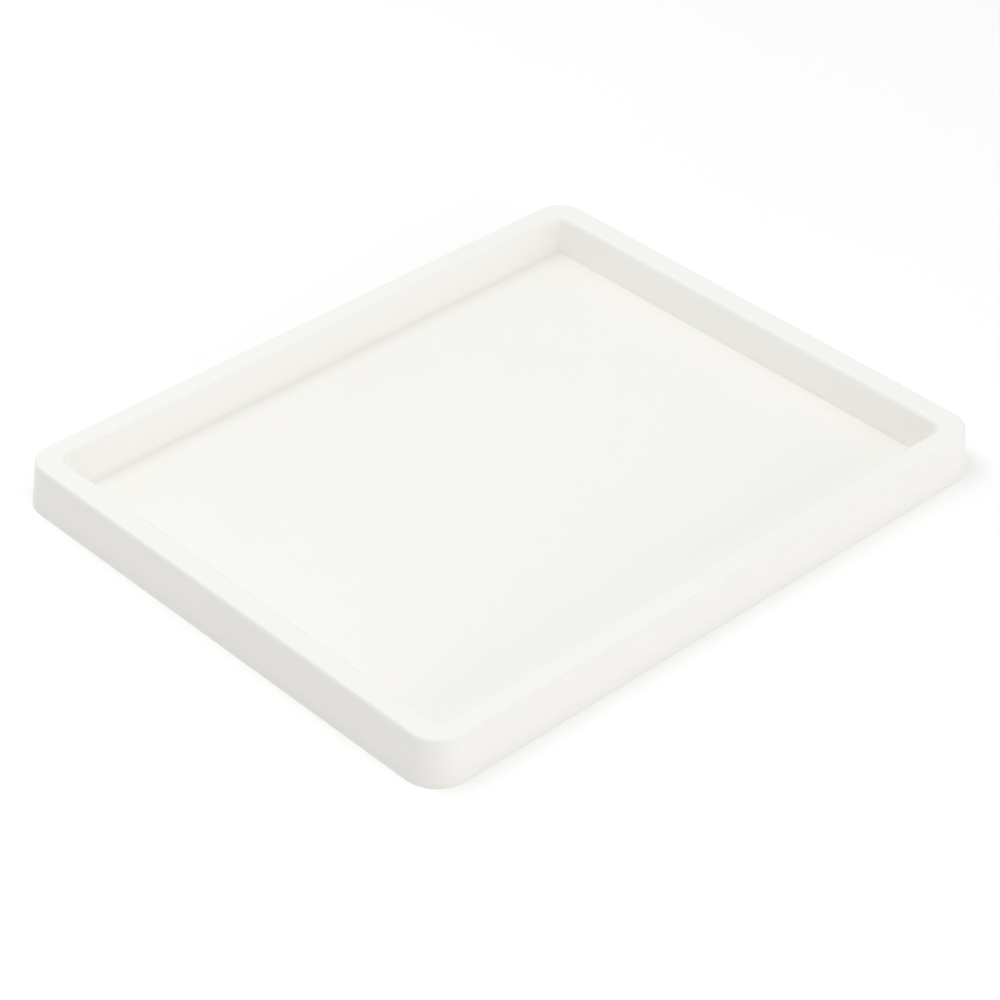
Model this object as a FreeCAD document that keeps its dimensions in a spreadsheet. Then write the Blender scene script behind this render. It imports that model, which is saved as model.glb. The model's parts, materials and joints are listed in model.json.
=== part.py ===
"""Flat paint roller tray: one moulded plastic tray with a hollow rim, standing on four rubber feet.

Frame: origin on the table under the middle of the tray, X along the long sides, +Z up.
Front is -Y and left is -X. All sizes are in millimetres.
"""
import FreeCAD
import Part
import Sketcher
import math
import os

# Driving dimensions. Each one becomes a cell of the spreadsheet under the same alias.
SIZES = {
    # outside
    "base_length": 280.0,          # over the skirt's lower edge, along X
    "base_width": 227.6,           # over the skirt's lower edge, along Y
    "tray_top": 18.8,              # the rim's top face above the table
    "skirt_bottom": 0.05,          # air gap between the skirt's lower edge and the table
    "skirt_draft": 6.5,            # degrees, the skirt leans in as it rises
    "base_corner_radius": 13.8,    # plan radius of the skirt's lower edge
    # rim and well
    "rim_on_short_side": 10.1,     # width of the rim's top
    "rim_on_long_side": 8.8,
    "well_depth": 16.1,
    "well_draft": 6.4,             # degrees, the well's walls lean out as they rise
    "mouth_corner_radius": 4.8,    # plan radius of the well's mouth
    # thicknesses of the moulding
    "skirt_wall": 2.0,
    "rim_wall": 2.0,
    "well_wall": 2.0,
    "floor_wall": 2.0,
    # edge radii
    "rim_outer_round": 1.4,
    "rim_inner_round": 2.0,
    "floor_round": 0.6,
    "skirt_edge_round": 0.08,
    # stiffening ribs across the hollow rim
    "rib_thick": 1.2,
    "rib_pitch": 44.0,
    "rib_start": 4.0,              # lower edge of a rib above the skirt's lower edge
    "ribs_per_long_side": 6.0,
    "ribs_per_short_side": 5.0,
    # marks that moulding leaves on the underside
    "gate_recess_radius": 4.5,
    "gate_recess_deep": 0.3,
    "gate_nub_radius": 1.1,
    "gate_nub_tall": 0.2,
    "ejector_radius": 3.0,
    "ejector_deep": 0.12,
    "ejector_x": 82.0,
    "ejector_y": 56.0,
    # feet
    "foot_radius": 9.0,
    "foot_clearance": 0.25,        # play all round a foot in its recess
    "foot_recess_deep": 0.6,
    "foot_round": 0.35,
    "foot_x": 108.0,
    "foot_y": 84.0,
}

# Heights, lengths and widths that follow from the driving dimensions.
FLOOR_TOP = "(Sizes.tray_top - Sizes.well_depth)"
FLOOR_UNDERSIDE = f"({FLOOR_TOP} - Sizes.floor_wall)"
RIM_UNDERSIDE = "(Sizes.tray_top - Sizes.rim_wall)"
SKIRT_SLOPE = "tan(Sizes.skirt_draft * 1 deg)"
WELL_SLOPE = "tan(Sizes.well_draft * 1 deg)"
RIM_LEAN = f"((Sizes.tray_top - Sizes.skirt_bottom) * {SKIRT_SLOPE})"
MOUTH_LENGTH = f"(Sizes.base_length - 2 * {RIM_LEAN} - 2 * Sizes.rim_on_short_side)"
MOUTH_WIDTH = f"(Sizes.base_width - 2 * {RIM_LEAN} - 2 * Sizes.rim_on_long_side)"
# The well's outer face at the floor's underside, measured from the edge of the mouth.
SHELL_GROWTH = f"(Sizes.well_wall - (Sizes.tray_top - {FLOOR_UNDERSIDE}) * {WELL_SLOPE})"
FOOT_TALL = f"({FLOOR_UNDERSIDE} + Sizes.foot_recess_deep)"
GATE_NUB_TIP = f"({FLOOR_UNDERSIDE} + Sizes.gate_recess_deep - Sizes.gate_nub_tall)"
RIB_TALL = f"({RIM_UNDERSIDE} - Sizes.skirt_bottom - Sizes.rib_start + Sizes.rim_wall / 2)"
# A rib ends halfway into the leaning walls on both sides of the channel.
RIB_OUTER_INSET = (
    f"((Sizes.skirt_wall + (Sizes.rib_start + {RIM_UNDERSIDE} - Sizes.skirt_bottom) * {SKIRT_SLOPE}) / 2)"
)
RIB_INNER_INSET = (
    f"((Sizes.well_wall - (2 * Sizes.tray_top - {RIM_UNDERSIDE} - Sizes.skirt_bottom"
    f" - Sizes.rib_start) * {WELL_SLOPE}) / 2)"
)

# Corner arcs of a rounded rectangle, anticlockwise from the front right: sides and start angle.
CORNERS = [(1, -1, -90), (1, 1, 0), (-1, 1, 90), (-1, -1, 180)]
SIDES = {"front": -1, "rear": 1}
ENDS = {"left": -1, "right": 1}
NEAR = 1e-4


def make_sheet(doc):
    """The spreadsheet that holds every driving dimension as a plain number with an alias."""
    sheet = doc.addObject("Spreadsheet::Sheet", "Sizes")
    for row, (alias, value) in enumerate(SIZES.items(), start=1):
        sheet.set(f"A{row}", alias)
        sheet.set(f"B{row}", str(value))
        sheet.setAlias(f"B{row}", alias)
    doc.recompute()
    return sheet


def value_of(owner, expression):
    """The number that an expression has now."""
    result = owner.evalExpression(expression)
    return float(getattr(result, "Value", result))


def make_body(doc, label):
    """An empty PartDesign body."""
    body = doc.addObject("PartDesign::Body", label)
    body.Label = label
    return body


def make_sketch(body, name, height="0"):
    """A sketch parallel to the body's own XY plane, at that height."""
    sketch = body.newObject("Sketcher::SketchObject", name)
    plane = [item for item in body.Origin.OriginFeatures if item.Role == "XY_Plane"][0]
    sketch.AttachmentSupport = (plane, [""])
    sketch.MapMode = "FlatFace"
    sketch.setExpression("AttachmentOffset.Base.z", height)
    return sketch


def bind(sketch, kind, name, expression, *where):
    """A named dimension of the sketch that follows an expression."""
    index = sketch.addConstraint(Sketcher.Constraint(kind, *where, value_of(sketch, expression)))
    sketch.renameConstraint(index, name)
    sketch.setExpression(f"Constraints.{name}", expression)


def draw_rounded_rectangle(sketch, length, width, radius):
    """A rectangle with round corners, centred on the sketch's origin."""
    half_x = value_of(sketch, length) / 2
    half_y = value_of(sketch, width) / 2
    corner = value_of(sketch, radius)
    arcs = []
    for side_x, side_y, start in CORNERS:
        centre = FreeCAD.Vector(side_x * (half_x - corner), side_y * (half_y - corner), 0)
        circle = Part.Circle(centre, FreeCAD.Vector(0, 0, 1), corner)
        arc = Part.ArcOfCircle(circle, math.radians(start), math.radians(start + 90))
        arcs.append(sketch.addGeometry(arc))
    lines = []
    for arc, following in zip(arcs, arcs[1:] + arcs[:1]):
        start = sketch.getPoint(arc, 2)
        end = sketch.getPoint(following, 1)
        line = sketch.addGeometry(Part.LineSegment(start, end))
        sketch.addConstraint(Sketcher.Constraint("Tangent", arc, 2, line, 1))
        sketch.addConstraint(Sketcher.Constraint("Tangent", line, 2, following, 1))
        lines.append(line)
    right, rear, left, front = lines
    for line in (right, left):
        sketch.addConstraint(Sketcher.Constraint("Vertical", line))
    for line in (rear, front):
        sketch.addConstraint(Sketcher.Constraint("Horizontal", line))
    for arc in arcs[1:]:
        sketch.addConstraint(Sketcher.Constraint("Equal", arcs[0], arc))
    bind(sketch, "Radius", "corner", radius, arcs[0])
    bind(sketch, "DistanceX", "right_side", f"{length} / 2", -1, 1, right, 1)
    bind(sketch, "DistanceX", "left_side", f"{length} / 2", left, 1, -1, 1)
    bind(sketch, "DistanceY", "rear_side", f"{width} / 2", -1, 1, rear, 1)
    bind(sketch, "DistanceY", "front_side", f"{width} / 2", front, 1, -1, 1)


def draw_circle(sketch, name, radius, centre_x="0", centre_y="0"):
    """A circle whose centre and radius follow expressions."""
    centre = FreeCAD.Vector(value_of(sketch, centre_x), value_of(sketch, centre_y), 0)
    shape = Part.Circle(centre, FreeCAD.Vector(0, 0, 1), value_of(sketch, radius))
    circle = sketch.addGeometry(shape)
    bind(sketch, "Radius", f"{name}_radius", radius, circle)
    bind(sketch, "DistanceX", f"{name}_x", centre_x, -1, 1, circle, 3)
    bind(sketch, "DistanceY", f"{name}_y", centre_y, -1, 1, circle, 3)


def draw_box(sketch, name, low_x, low_y, high_x, high_y):
    """An upright rectangle between two corners, each given as expressions."""
    x_values = [value_of(sketch, low_x), value_of(sketch, high_x)]
    y_values = [value_of(sketch, low_y), value_of(sketch, high_y)]
    corners = [
        FreeCAD.Vector(x_values[0], y_values[0], 0),
        FreeCAD.Vector(x_values[1], y_values[0], 0),
        FreeCAD.Vector(x_values[1], y_values[1], 0),
        FreeCAD.Vector(x_values[0], y_values[1], 0),
    ]
    lines = [
        sketch.addGeometry(Part.LineSegment(start, end))
        for start, end in zip(corners, corners[1:] + corners[:1])
    ]
    for line, following in zip(lines, lines[1:] + lines[:1]):
        sketch.addConstraint(Sketcher.Constraint("Coincident", line, 2, following, 1))
    for number, direction in enumerate(["Horizontal", "Vertical"] * 2):
        sketch.addConstraint(Sketcher.Constraint(direction, lines[number]))
    bind(sketch, "DistanceX", f"{name}_low_x", low_x, -1, 1, lines[0], 1)
    bind(sketch, "DistanceY", f"{name}_low_y", low_y, -1, 1, lines[0], 1)
    bind(sketch, "DistanceX", f"{name}_high_x", high_x, -1, 1, lines[2], 1)
    bind(sketch, "DistanceY", f"{name}_high_y", high_y, -1, 1, lines[2], 1)


def add_pad(body, sketch, name, tall, taper="0"):
    """Material raised from the sketch. A positive taper widens it as it rises."""
    pad = body.newObject("PartDesign::Pad", name)
    pad.Profile = sketch
    pad.setExpression("Length", tall)
    pad.setExpression("TaperAngle", taper)
    return settle(body, pad)


def add_pocket(body, sketch, name, deep, taper="0", upwards=False):
    """Material cut away from the sketch. A negative taper narrows the cut as it goes in."""
    volume = body.Shape.Volume
    pocket = body.newObject("PartDesign::Pocket", name)
    pocket.Profile = sketch
    pocket.Reversed = upwards
    pocket.setExpression("Length", deep)
    pocket.setExpression("TaperAngle", taper)
    settle(body, pocket)
    if body.Shape.Volume > volume - NEAR:
        raise RuntimeError(f"{name} cut nothing")
    return pocket


def settle(body, feature):
    """Makes the feature the body's tip and recomputes it."""
    body.Tip = feature
    body.Document.recompute()
    return feature


def level_face(body, height):
    """The largest horizontal flat face of the body's last feature at that height."""
    level = value_of(body, height)
    found = [
        face
        for face in body.Tip.Shape.Faces
        if face.BoundBox.ZLength < NEAR and abs(face.BoundBox.ZMin - level) < NEAR
    ]
    return max(found, key=lambda face: face.BoundBox.XLength)


def round_edges(body, name, wire, radius):
    """A fillet along every edge of a wire of the body's shape."""
    base = body.Tip
    names = [
        f"Edge{number}"
        for number, edge in enumerate(base.Shape.Edges, start=1)
        if any(edge.isSame(other) for other in wire.Edges)
    ]
    fillet = body.newObject("PartDesign::Fillet", name)
    fillet.Base = (base, names)
    fillet.setExpression("Radius", radius)
    return settle(body, fillet)


def add_rim_shell(body):
    """The outside of the tray: a tapered block, hollowed from below down to skirt and rim walls."""
    outline = make_sketch(body, "skirt_outline", "Sizes.skirt_bottom")
    draw_rounded_rectangle(outline, "Sizes.base_length", "Sizes.base_width", "Sizes.base_corner_radius")
    add_pad(body, outline, "outer_block", "Sizes.tray_top - Sizes.skirt_bottom", "-Sizes.skirt_draft")
    hollow = make_sketch(body, "hollow_outline", "Sizes.skirt_bottom")
    draw_rounded_rectangle(
        hollow,
        "(Sizes.base_length - 2 * Sizes.skirt_wall)",
        "(Sizes.base_width - 2 * Sizes.skirt_wall)",
        "(Sizes.base_corner_radius - Sizes.skirt_wall)",
    )
    deep = f"{RIM_UNDERSIDE} - Sizes.skirt_bottom"
    add_pocket(body, hollow, "rim_hollow", deep, "-Sizes.skirt_draft", upwards=True)


def add_well(body):
    """The well: a tapered plug inside the rim shell, cut out from above to walls and floor."""
    shell = make_sketch(body, "well_shell_outline", FLOOR_UNDERSIDE)
    draw_rounded_rectangle(
        shell,
        f"({MOUTH_LENGTH} + 2 * {SHELL_GROWTH})",
        f"({MOUTH_WIDTH} + 2 * {SHELL_GROWTH})",
        f"(Sizes.mouth_corner_radius + {SHELL_GROWTH})",
    )
    tall = f"{RIM_UNDERSIDE} - {FLOOR_UNDERSIDE} + Sizes.rim_wall / 2"
    add_pad(body, shell, "well_shell", tall, "Sizes.well_draft")
    mouth = make_sketch(body, "mouth_outline", "Sizes.tray_top")
    draw_rounded_rectangle(mouth, MOUTH_LENGTH, MOUTH_WIDTH, "Sizes.mouth_corner_radius")
    add_pocket(body, mouth, "well", "Sizes.well_depth", "-Sizes.well_draft")


def add_ribs(body):
    """Thin ribs across the hollow rim, in a row along each side, short of the skirt's lower edge."""
    height = "Sizes.skirt_bottom + Sizes.rib_start"
    rows = {
        "long_side": ("Sizes.ribs_per_long_side", "Sizes.base_width", MOUTH_WIDTH, "H_Axis"),
        "short_side": ("Sizes.ribs_per_short_side", "Sizes.base_length", MOUTH_LENGTH, "V_Axis"),
    }
    for row, (count, base_span, mouth_span, axis) in rows.items():
        sketch = make_sketch(body, f"rib_{row}_outline", height)
        run = f"(({count} - 1) * Sizes.rib_pitch)"
        start = f"(-{run} / 2 - Sizes.rib_thick / 2)"
        end = f"(-{run} / 2 + Sizes.rib_thick / 2)"
        near = f"({mouth_span} / 2 + {RIB_INNER_INSET})"
        far = f"({base_span} / 2 - {RIB_OUTER_INSET})"
        across = {"low": (f"-{far}", f"-{near}"), "high": (near, far)}
        for name, (low, high) in across.items():
            if axis == "H_Axis":
                draw_box(sketch, name, start, low, end, high)
            else:
                draw_box(sketch, name, low, start, high, end)
        rib = add_pad(body, sketch, f"rib_{row}", RIB_TALL)
        pattern = body.newObject("PartDesign::LinearPattern", f"ribs_{row}")
        pattern.Originals = [rib]
        pattern.Direction = (sketch, [axis])
        pattern.setExpression("Length", run)
        pattern.setExpression("Occurrences", count)
        settle(body, pattern)


def add_underside_marks(body):
    """Recesses in the floor's underside: four for the feet, the gate's and the ejector pins'."""
    feet = make_sketch(body, "foot_recess_outline", FLOOR_UNDERSIDE)
    pins = make_sketch(body, "ejector_outline", FLOOR_UNDERSIDE)
    for side, sign_y in SIDES.items():
        for end, sign_x in ENDS.items():
            name = f"{side}_{end}"
            draw_circle(
                feet,
                name,
                "Sizes.foot_radius + Sizes.foot_clearance",
                f"{sign_x} * Sizes.foot_x",
                f"{sign_y} * Sizes.foot_y",
            )
            draw_circle(
                pins,
                name,
                "Sizes.ejector_radius",
                f"{sign_x} * Sizes.ejector_x",
                f"{sign_y} * Sizes.ejector_y",
            )
    add_pocket(body, feet, "foot_recesses", "Sizes.foot_recess_deep", upwards=True)
    add_pocket(body, pins, "ejector_marks", "Sizes.ejector_deep", upwards=True)
    gate = make_sketch(body, "gate_recess_outline", FLOOR_UNDERSIDE)
    draw_circle(gate, "gate", "Sizes.gate_recess_radius")
    add_pocket(body, gate, "gate_recess", "Sizes.gate_recess_deep", upwards=True)
    nub = make_sketch(body, "gate_nub_outline", GATE_NUB_TIP)
    draw_circle(nub, "nub", "Sizes.gate_nub_radius")
    add_pad(body, nub, "gate_nub", "2 * Sizes.gate_nub_tall")


def round_tray_edges(body):
    """The moulded radii: both edges of the rim, the foot of the well's walls and the skirt's edge."""
    rim = level_face(body, "Sizes.tray_top")
    round_edges(body, "rim_outer_edge", rim.OuterWire, "Sizes.rim_outer_round")
    rim = level_face(body, "Sizes.tray_top")
    mouth = min(rim.Wires, key=lambda wire: wire.Length)
    round_edges(body, "rim_inner_edge", mouth, "Sizes.rim_inner_round")
    floor = level_face(body, FLOOR_TOP)
    round_edges(body, "well_floor_edge", floor.OuterWire, "Sizes.floor_round")
    skirt = level_face(body, "Sizes.skirt_bottom")
    round_edges(body, "skirt_lower_edge", skirt.OuterWire, "Sizes.skirt_edge_round")


def make_tray(doc):
    """The whole moulding: rim, skirt, well and floor."""
    body = make_body(doc, "tray_body")
    add_rim_shell(body)
    add_well(body)
    add_ribs(body)
    add_underside_marks(body)
    round_tray_edges(body)
    return body


def make_foot(doc, side, end):
    """One rubber disc, standing on the table with its top in a recess of the underside."""
    body = make_body(doc, f"foot_{side}_{end}")
    sketch = make_sketch(body, f"disc_outline_{side}_{end}")
    draw_circle(sketch, "disc", "Sizes.foot_radius")
    add_pad(body, sketch, f"disc_{side}_{end}", FOOT_TALL)
    underside = level_face(body, "0")
    round_edges(body, f"disc_edge_{side}_{end}", underside.OuterWire, "Sizes.foot_round")
    body.setExpression("Placement.Base.x", f"{ENDS[end]} * Sizes.foot_x")
    body.setExpression("Placement.Base.y", f"{SIDES[side]} * Sizes.foot_y")
    doc.recompute()
    return body


def check(doc, bodies):
    """Stops on a failed object or on a body that isn't one valid solid."""
    for item in doc.Objects:
        if "Invalid" in item.State or "Error" in item.State:
            raise RuntimeError(f"{item.Label} failed: {item.State}")
    for body in bodies:
        shape = body.Shape
        if shape.isNull() or not shape.isValid() or len(shape.Solids) != 1:
            raise RuntimeError(f"{body.Label} isn't one valid solid")


def main():
    doc = FreeCAD.newDocument("paint_roller_tray")
    make_sheet(doc)
    bodies = [make_tray(doc)]
    bodies += [make_foot(doc, side, end) for side in SIDES for end in ENDS]
    check(doc, bodies)
    os.makedirs("parts", exist_ok=True)
    for body in bodies:
        body.Shape.exportStep(f"parts/{body.Label}.step")
        box = body.Shape.optimalBoundingBox(False)
        print(f"{body.Label}: {body.Shape.Volume / 1000:.2f} cm3, {box}")


main()
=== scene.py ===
"""The looks of a flat paint roller tray: its finishes, a pale table, soft studio light and a camera.

Everything is in metres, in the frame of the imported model: X along the long sides, +Z up, and
the origin on the table under the middle of the tray. Angles are in degrees.
"""
import bpy
import json
import math
from mathutils import Matrix, Vector

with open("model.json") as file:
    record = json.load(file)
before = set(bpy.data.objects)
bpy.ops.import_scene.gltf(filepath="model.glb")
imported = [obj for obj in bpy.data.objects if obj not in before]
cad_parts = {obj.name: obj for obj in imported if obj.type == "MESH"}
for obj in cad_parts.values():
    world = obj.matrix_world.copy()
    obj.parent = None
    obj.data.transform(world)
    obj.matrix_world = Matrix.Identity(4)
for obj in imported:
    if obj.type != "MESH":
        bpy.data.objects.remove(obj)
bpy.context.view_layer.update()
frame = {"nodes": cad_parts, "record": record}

MM = 0.001

# Colours, linear
PLASTIC_COLOUR = (0.901, 0.893, 0.860)
PLASTIC_SHADE = (0.884, 0.875, 0.838)
# painted shade: a darker colour on the outer skirt, the rim top and the rounded upper edges
PLASTIC_PAINTED_SHADE = (0.832, 0.820, 0.788)
# painted shade: darker still at the foot of the outer skirt
PLASTIC_FOOT_SHADE = (0.816, 0.800, 0.762)
# painted shade: darker in the inner corners near the floor
PLASTIC_CREVICE_SHADE = (0.846, 0.835, 0.802)
RUBBER_COLOUR = (0.150, 0.148, 0.145)
RUBBER_DUSTY = (0.205, 0.200, 0.192)
TABLE_COLOUR = (0.985, 0.985, 0.985)

# Relief and gloss of the moulded plastic
GRAIN_SIZE = 0.45 * MM
GRAIN_DEPTH = 0.012 * MM
WAVE_SIZE = 38 * MM
WAVE_DEPTH = 0.06 * MM
CLOUD_SIZE = 24 * MM
PLASTIC_ROUGHNESS = (0.55, 0.66)
PLASTIC_IOR = 1.49
EDGE_POLISH = 0.08

# Scuffs: size, stretch along each axis, turn, and the noise where they begin and are full
SCUFFS = (
    (9 * MM, (0.12, 4.0, 1.0), 4, (0.60, 0.72)),
    (7 * MM, (0.15, 5.0, 1.0), 67, (0.63, 0.75)),
)
SCUFF_DEPTH = 0.006 * MM
SCUFF_DULLNESS = 0.09

# Slow patches of the shade colour: size, the noise where they begin and are full, greatest share
PATCH_SIZE = 60 * MM
PATCH_BAND = (0.35, 0.7)
PATCH_SHARE = 0.28

# How far up a surface faces, 1 being level: a rounded edge begins and ends, and a level surface
EDGE_BEGINS = (0.18, 0.5)
EDGE_ENDS = (0.85, 0.99)
LEVEL = (0.9, 0.99)

# Painted shade: heights above the table, and how far out a surface is along its own normal
EDGE_HEIGHTS = (12 * MM, 16 * MM)
# share of painted shade on the rounded upper edges, which also sets their polish
EDGE_SHADE_AND_POLISH = 0.4
RIM_TOP_OUT = (8 * MM, 16 * MM)
# share of painted shade on the rim top
RIM_TOP_SHADE = 0.15
SKIRT_OUT = (50 * MM, 90 * MM)
# heights over which painted shade darkens the skirt's foot
SKIRT_SHADE_HEIGHTS = (0, 9 * MM)
# painted shade in the inner corners, found by ambient occlusion
CREVICE_REACH = 10 * MM
CREVICE_SAMPLES = 8
CREVICE_OPENNESS = (0.5, 1.0)
CREVICE_HEIGHTS = (2.8 * MM, 4.5 * MM)

# Rubber feet
PORE_SIZE = 0.35 * MM
PORE_DEPTH = 0.03 * MM
DUST_SIZE = 3 * MM
DUST_BAND = (0.45, 0.7)
RUBBER_ROUGHNESS = (0.68, 0.86)

# Table
TABLE_SIDE = 6.0
TABLE_CLOUD_SIZE = 120 * MM
TABLE_ROUGHNESS = (0.62, 0.68)

# The middle part of a noise, over which the gloss goes from its lowest to its highest
NOISE_MIDDLE = (0.3, 0.7)

# The colour sockets of Blender's Mix node: its two inputs and its output
MIX_FIRST, MIX_SECOND, MIX_RESULT = 6, 7, 2

# Camera: it circles a point on the table
CAMERA_AIM = Vector((-8.9, -6.9, 0.0)) * MM
CAMERA_AZIMUTH = -44.1
CAMERA_ELEVATION = 36.1
CAMERA_ROLL = 1.05
CAMERA_DISTANCE = 1.1845
CAMERA_LENS = 115.1
SENSOR = 36.0

# Soft lights aimed at the tray: azimuth, elevation, distance, side of the square, power in watts
LIGHTS = {
    "front_high": (0, 68, 1.8, 0.9, 3.65),
    "front_low": (0, 15, 1.8, 1.0, 6.2),
    "front_right_low": (40, 15, 1.8, 1.0, 2.1),
    "rear": (180, 45, 1.8, 1.2, 2.6),
    "rear_low": (180, 15, 1.8, 1.0, 3.5),
    "rear_left_high": (225, 68, 1.8, 0.9, 6.6),
}
SKY_STRENGTH = 0.633


class Finish:
    """A procedural material, with short ways to add nodes in front of its Principled shader."""

    def __init__(self, name):
        self.material = bpy.data.materials.new(name)
        self.material.use_nodes = True
        self.tree = self.material.node_tree
        self.shader = self.tree.nodes["Principled BSDF"]
        self.place = self.tree.nodes.new("ShaderNodeTexCoord").outputs["Object"]
        self.normal = self.tree.nodes.new("ShaderNodeNewGeometry").outputs["Normal"]

    def plug(self, socket, value):
        """Gives a socket a number, a colour or another node's output."""
        if isinstance(value, bpy.types.NodeSocket):
            self.tree.links.new(value, socket)
        elif isinstance(value, tuple) and len(value) == 3 and len(socket.default_value) == 4:
            socket.default_value = (*value, 1.0)
        else:
            socket.default_value = value

    def noise(self, size, detail=2.0, roughness=0.5, stretch=(1, 1, 1), turn=0.0):
        """Soft random spots about that size in metres, from 0 to 1, drawn out along an axis."""
        mapping = self.tree.nodes.new("ShaderNodeMapping")
        mapping.inputs["Scale"].default_value = stretch
        mapping.inputs["Rotation"].default_value[2] = math.radians(turn)
        self.plug(mapping.inputs["Vector"], self.place)
        noise = self.tree.nodes.new("ShaderNodeTexNoise")
        noise.inputs["Scale"].default_value = 1 / size
        noise.inputs["Detail"].default_value = detail
        noise.inputs["Roughness"].default_value = roughness
        self.plug(noise.inputs["Vector"], mapping.outputs["Vector"])
        return noise.outputs["Fac"]

    def math(self, operation, first, second):
        """One sum on two numbers or outputs."""
        node = self.tree.nodes.new("ShaderNodeMath")
        node.operation = operation
        self.plug(node.inputs[0], first)
        self.plug(node.inputs[1], second)
        return node.outputs[0]

    def ramp(self, value, low, high, to_low=0.0, to_high=1.0):
        """A smooth change from to_low, where value is low, to to_high, where it is high."""
        node = self.tree.nodes.new("ShaderNodeMapRange")
        node.interpolation_type = "SMOOTHSTEP"
        self.plug(node.inputs["Value"], value)
        node.inputs["From Min"].default_value = low
        node.inputs["From Max"].default_value = high
        node.inputs["To Min"].default_value = to_low
        node.inputs["To Max"].default_value = to_high
        return node.outputs["Result"]

    def blend(self, share, first, second):
        """A colour between two colours."""
        node = self.tree.nodes.new("ShaderNodeMix")
        node.data_type = "RGBA"
        self.plug(node.inputs["Factor"], share)
        self.plug(node.inputs[MIX_FIRST], first)
        self.plug(node.inputs[MIX_SECOND], second)
        return node.outputs[MIX_RESULT]

    def bump(self, height, depth, under=None):
        """A relief of that depth in metres, on top of another relief."""
        node = self.tree.nodes.new("ShaderNodeBump")
        node.inputs["Distance"].default_value = depth
        self.plug(node.inputs["Height"], height)
        if under is not None:
            self.plug(node.inputs["Normal"], under)
        return node.outputs["Normal"]

    def height(self, vector):
        """The upward part of a place or of a direction."""
        split = self.tree.nodes.new("ShaderNodeSeparateXYZ")
        self.plug(split.inputs["Vector"], vector)
        return split.outputs["Z"]

    def facing_out(self):
        """How far out a surface is along its own normal: its height if level, below 0 on a well wall."""
        node = self.tree.nodes.new("ShaderNodeVectorMath")
        node.operation = "DOT_PRODUCT"
        self.plug(node.inputs[0], self.normal)
        self.plug(node.inputs[1], self.place)
        return node.outputs["Value"]

    def crevices(self, reach):
        """1 in the open, falling towards 0 in the inner corners within that reach."""
        node = self.tree.nodes.new("ShaderNodeAmbientOcclusion")
        node.samples = CREVICE_SAMPLES
        node.inputs["Distance"].default_value = reach
        return node.outputs["AO"]


def scuff_marks(finish, level):
    """Thin marks in two directions, on level surfaces only."""
    lengthways, crossways = [
        finish.ramp(finish.noise(size, detail=3.0, roughness=0.6, stretch=stretch, turn=turn), *band)
        for size, stretch, turn, band in SCUFFS
    ]
    marks = finish.math("MAXIMUM", lengthways, crossways)
    return finish.math("MULTIPLY", marks, finish.ramp(level, *LEVEL))


def patchy_shaded_colour(finish, height, edges):
    """Off-white in slow patches, with painted shade on the rim top, upper edges, skirt, its foot and
    crevices.
    """
    patches = finish.ramp(finish.noise(PATCH_SIZE, detail=4.0), *PATCH_BAND, 0.0, PATCH_SHARE)
    colour = finish.blend(patches, PLASTIC_COLOUR, PLASTIC_SHADE)

    # painted shade in the inner corners near the floor, from ambient occlusion
    crevice_shade = finish.ramp(finish.crevices(CREVICE_REACH), *CREVICE_OPENNESS, 1.0, 0.0)
    crevice_shade = finish.math("MULTIPLY", crevice_shade, finish.ramp(height, *CREVICE_HEIGHTS, 1.0, 0.0))
    colour = finish.blend(crevice_shade, colour, PLASTIC_CREVICE_SHADE)

    out = finish.facing_out()
    skirt = finish.ramp(out, *SKIRT_OUT)
    # painted shade on the rim top, the rounded upper edges and the outer skirt
    painted_shade = finish.math("MAXIMUM", finish.ramp(out, *RIM_TOP_OUT, 0.0, RIM_TOP_SHADE), edges)
    painted_shade = finish.math("MAXIMUM", painted_shade, skirt)
    colour = finish.blend(painted_shade, colour, PLASTIC_PAINTED_SHADE)

    # painted shade, darker towards the bottom of the outer skirt
    foot = finish.math("MULTIPLY", skirt, finish.ramp(height, *SKIRT_SHADE_HEIGHTS, 1.0, 0.0))
    return finish.blend(foot, colour, PLASTIC_FOOT_SHADE)


def tray_plastic():
    """Satin moulded plastic: fine grain, faint flow waves, light scuffs, polished edges and painted
    shade.
    """
    finish = Finish("tray_plastic")
    level = finish.height(finish.normal)
    height = finish.height(finish.place)
    scuffs = scuff_marks(finish, level)
    not_upright = finish.ramp(level, *EDGE_BEGINS)
    not_level = finish.ramp(level, *EDGE_ENDS, 1.0, 0.0)
    rounded = finish.math("MULTIPLY", not_upright, not_level)
    # rounded upper edges: a mask for their polish and for their painted shade
    edges = finish.math("MULTIPLY", rounded, finish.ramp(height, *EDGE_HEIGHTS, 0.0, EDGE_SHADE_AND_POLISH))

    relief = finish.bump(finish.noise(WAVE_SIZE, detail=1.0), WAVE_DEPTH)
    relief = finish.bump(finish.noise(GRAIN_SIZE, detail=3.0, roughness=0.6), GRAIN_DEPTH, relief)
    relief = finish.bump(scuffs, -SCUFF_DEPTH, relief)
    finish.plug(finish.shader.inputs["Normal"], relief)

    gloss = finish.ramp(finish.noise(CLOUD_SIZE, detail=3.0), *NOISE_MIDDLE, *PLASTIC_ROUGHNESS)
    gloss = finish.math("SUBTRACT", gloss, finish.math("MULTIPLY", edges, EDGE_POLISH))
    gloss = finish.math("ADD", gloss, finish.math("MULTIPLY", scuffs, SCUFF_DULLNESS))
    finish.plug(finish.shader.inputs["Roughness"], gloss)

    finish.plug(finish.shader.inputs["Base Color"], patchy_shaded_colour(finish, height, edges))
    finish.shader.inputs["IOR"].default_value = PLASTIC_IOR
    return finish.material


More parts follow.
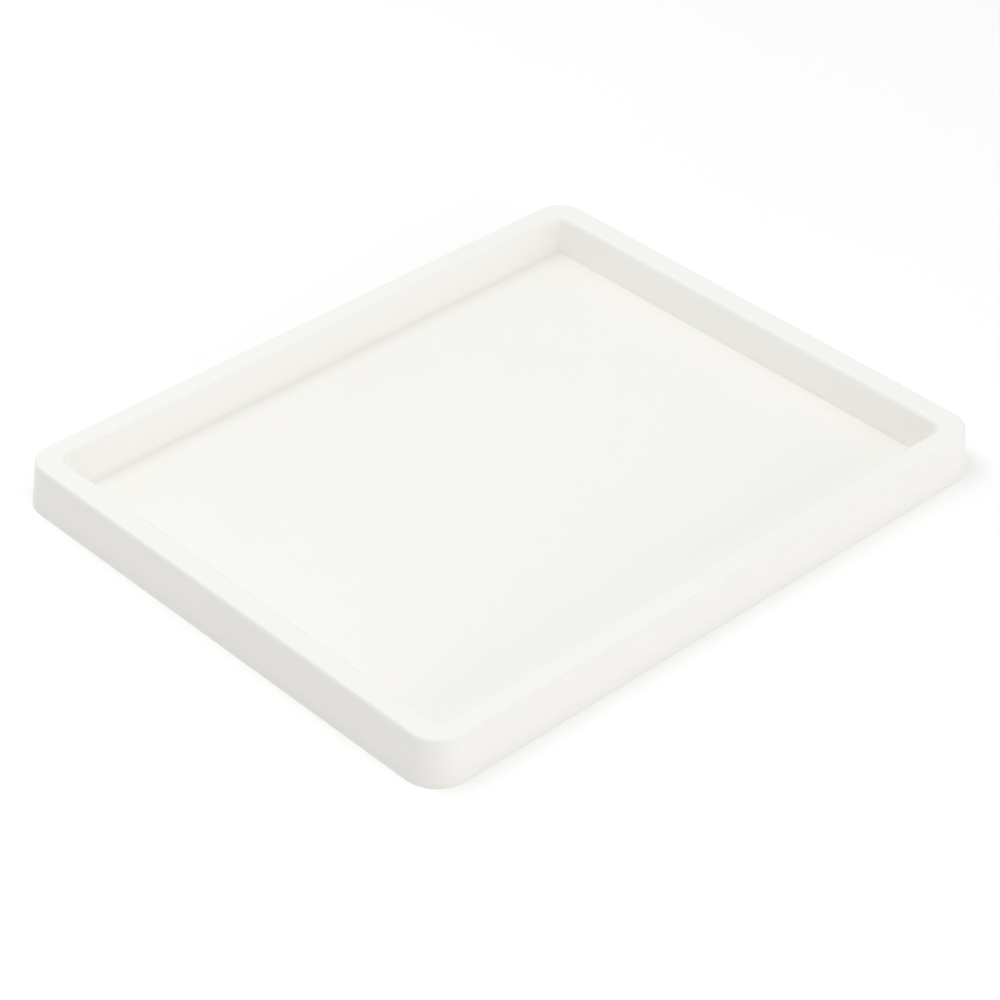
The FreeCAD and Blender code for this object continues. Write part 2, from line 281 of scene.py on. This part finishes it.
def foot_rubber():
    """Soft matte rubber: fine pores, and dust that sits in patches."""
    finish = Finish("foot_rubber")
    pores = finish.noise(PORE_SIZE, detail=2.0, roughness=0.7)
    dust = finish.ramp(finish.noise(DUST_SIZE, detail=4.0), *DUST_BAND)
    finish.plug(finish.shader.inputs["Normal"], finish.bump(pores, PORE_DEPTH))
    finish.plug(finish.shader.inputs["Roughness"], finish.ramp(dust, 0.0, 1.0, *RUBBER_ROUGHNESS))
    finish.plug(finish.shader.inputs["Base Color"], finish.blend(dust, RUBBER_COLOUR, RUBBER_DUSTY))
    return finish.material


def table_top():
    """A plain pale matte surface."""
    finish = Finish("table_top")
    clouds = finish.noise(TABLE_CLOUD_SIZE, detail=2.0)
    finish.plug(finish.shader.inputs["Roughness"], finish.ramp(clouds, *NOISE_MIDDLE, *TABLE_ROUGHNESS))
    finish.plug(finish.shader.inputs["Base Color"], TABLE_COLOUR)
    return finish.material


def dress(materials):
    """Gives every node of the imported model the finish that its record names."""
    for part in frame["record"]["subparts"]:
        node = frame["nodes"][part["node"]]
        for slot in node.material_slots:
            slot.material = materials[part["material_slot"]]


def make_table(material):
    """The surface that the tray stands on."""
    half = TABLE_SIDE / 2
    mesh = bpy.data.meshes.new("table")
    corners = [(-half, -half, 0), (half, -half, 0), (half, half, 0), (-half, half, 0)]
    mesh.from_pydata(corners, [], [(0, 1, 2, 3)])
    mesh.materials.append(material)
    table = bpy.data.objects.new("table", mesh)
    bpy.context.scene.collection.objects.link(table)


def direction(azimuth, elevation):
    """The unit vector towards a place round the tray: azimuth 0 is the front, 90 the right."""
    turn = math.radians(azimuth)
    rise = math.radians(elevation)
    return Vector((math.sin(turn) * math.cos(rise), -math.cos(turn) * math.cos(rise), math.sin(rise)))


def make_lights():
    """Large square lights all round and above, in an even pale sky."""
    for name, (azimuth, elevation, distance, side, power) in LIGHTS.items():
        light = bpy.data.lights.new(name, "AREA")
        light.shape = "SQUARE"
        light.size = side
        light.energy = power
        lamp = bpy.data.objects.new(name, light)
        lamp.location = direction(azimuth, elevation) * distance
        lamp.rotation_euler = direction(azimuth, elevation).to_track_quat("Z", "Y").to_euler()
        lamp.visible_camera = False
        bpy.context.scene.collection.objects.link(lamp)
    world = bpy.data.worlds.new("sky")
    world.use_nodes = True
    sky = world.node_tree.nodes["Background"]
    sky.inputs["Color"].default_value = (1, 1, 1, 1)
    sky.inputs["Strength"].default_value = SKY_STRENGTH
    bpy.context.scene.world = world


def make_camera():
    """A long lens looking down on the front left corner, very slightly rolled."""
    back = direction(CAMERA_AZIMUTH, CAMERA_ELEVATION)
    right = (-back).cross(Vector((0, 0, 1))).normalized()
    turn = Matrix.Rotation(math.radians(CAMERA_ROLL), 3, back)
    right = turn @ right
    up = back.cross(right)
    place = CAMERA_AIM + back * CAMERA_DISTANCE
    data = bpy.data.cameras.new("camera")
    data.lens = CAMERA_LENS
    data.sensor_width = SENSOR
    camera = bpy.data.objects.new("camera", data)
    camera.matrix_world = Matrix((right, up, back)).transposed().to_4x4()
    camera.location = place
    bpy.context.scene.collection.objects.link(camera)
    bpy.context.scene.camera = camera


make_camera()
dress({"tray_plastic": tray_plastic(), "foot_rubber": foot_rubber()})
make_table(table_top())
make_lights()

bpy.context.scene.view_settings.view_transform = "Standard"
bpy.context.view_layer.update()
